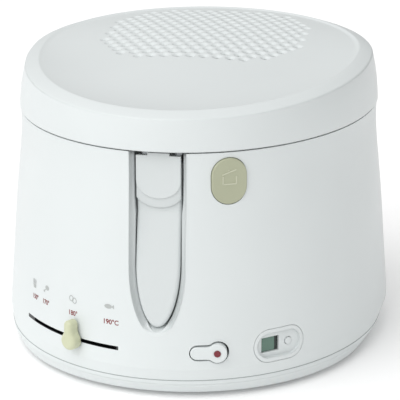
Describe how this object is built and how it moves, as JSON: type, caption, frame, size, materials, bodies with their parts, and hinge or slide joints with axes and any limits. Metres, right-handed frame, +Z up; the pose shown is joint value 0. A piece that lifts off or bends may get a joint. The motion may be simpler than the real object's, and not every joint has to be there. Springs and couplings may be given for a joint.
{
  "type": "deep fryer",
  "caption": "Egg-shaped cool-wall deep fryer with a vented hinged lid, folding basket handle, sliding thermostat knob, rocker switch and timer display.",
  "frame": {"origin": "middle of the bounding box, on the surface that the feet stand on", "axes": "+Z up, -Y towards the handle and the controls, +X to the right of someone facing them"},
  "size_m": [0.304, 0.333, 0.2346],
  "materials": {
    "white_plastic": "moulded, semi-gloss",
    "beige_plastic": "moulded, satin",
    "grey_plastic": "moulded",
    "dark_plastic": "moulded",
    "rubber": "matt",
    "steel": "plain",
    "wire": "bright plated",
    "aluminium": "satin",
    "coated_tank": "non-stick coating",
    "red_lens": "clear",
    "display": "grey-green",
    "board": "matt",
    "foam": "open foam"
  },
  "bodies": {
    "housing": {"outer_casing": "white_plastic", "handle_recess": "white_plastic", "base_pan": "white_plastic", "timer_pod": "white_plastic", "hinge_bracket": "white_plastic", "button_guide": "grey_plastic", "cord_gland": "grey_plastic", "switch_housing": "dark_plastic", "thermostat_body": "dark_plastic", "terminal_block": "dark_plastic", "thermal_cutout": "dark_plastic", "foot_1": "rubber", "foot_2": "rubber", "foot_3": "rubber", "foot_4": "rubber", "foot_screw_1": "steel", "foot_screw_2": "steel", "foot_screw_3": "steel", "foot_screw_4": "steel", "hinge_pin": "steel", "heating_element": "steel", "element_plate": "aluminium", "oil_tank": "coated_tank", "lcd_window": "display", "timer_board": "board"},
    "lid": {"lid_shell": "white_plastic", "lid_front": "white_plastic", "lid_top": "white_plastic", "vent_grille": "white_plastic", "lid_liner": "aluminium", "filter_pad": "foam", "filter_cover": "grey_plastic", "lid_hinge_lug": "white_plastic", "lid_catch": "grey_plastic", "lid_screw_1": "steel", "lid_screw_2": "steel", "lid_screw_3": "steel", "lid_screw_4": "steel"},
    "release_button": {"release_button": "beige_plastic", "latch_hook": "grey_plastic"},
    "basket": {"basket_rim": "wire", "basket_wall": "wire", "basket_floor": "wire", "basket_bracket": "wire", "handle_pin": "steel"},
    "handle": {"handle_grip": "white_plastic"},
    "handle_lock": {"handle_lock": "white_plastic"},
    "thermostat": {"thermostat_lever": "steel", "thermostat_knob": "beige_plastic"},
    "rocker": {"rocker_key": "white_plastic", "pilot_lens": "red_lens"},
    "timer_button": {"timer_button": "grey_plastic"}
  },
  "joints": [
    {"name": "lid_hinge", "type": "hinge", "parent": "housing", "child": "lid", "pos_m": [0, 0.1605, 0.189], "axis": [-1, 0, 0], "range_deg": [0, 85]},
    {"name": "release_press", "type": "slide", "parent": "housing", "child": "release_button", "axis": [-0.4408, 0.8976, 0], "range_m": [0, 0.003], "stiffness_N_per_m": 300, "springref_m": -0.002},
    {"name": "basket_lift", "type": "slide", "parent": "housing", "child": "basket", "axis": [0, 0, 1], "range_m": [0, 0.013]},
    {"name": "handle_fold", "type": "hinge", "parent": "basket", "child": "handle", "pos_m": [0, -0.1465, 0.176], "axis": [-1, 0, 0], "range_deg": [0, 90]},
    {"name": "lock_slide", "type": "slide", "parent": "handle", "child": "handle_lock", "axis": [0, 0, -1], "range_m": [0, 0.004], "stiffness_N_per_m": 200, "springref_m": -0.003},
    {"name": "thermostat_swing", "type": "hinge", "parent": "housing", "child": "thermostat", "pos_m": [0.0056, -0.0265, 0.037], "axis": [0, 0, 1], "range_deg": [-19.5, 12.8]},
    {"name": "switch_rock", "type": "hinge", "parent": "housing", "child": "rocker", "pos_m": [0.0358, -0.15638, 0.037], "axis": [0, 0, 1], "range_deg": [0, 14]},
    {"name": "timer_press", "type": "slide", "parent": "housing", "child": "timer_button", "axis": [-0.6514, 0.7587, 0], "range_m": [0, 0.001], "stiffness_N_per_m": 200, "springref_m": -0.001}
  ]
}
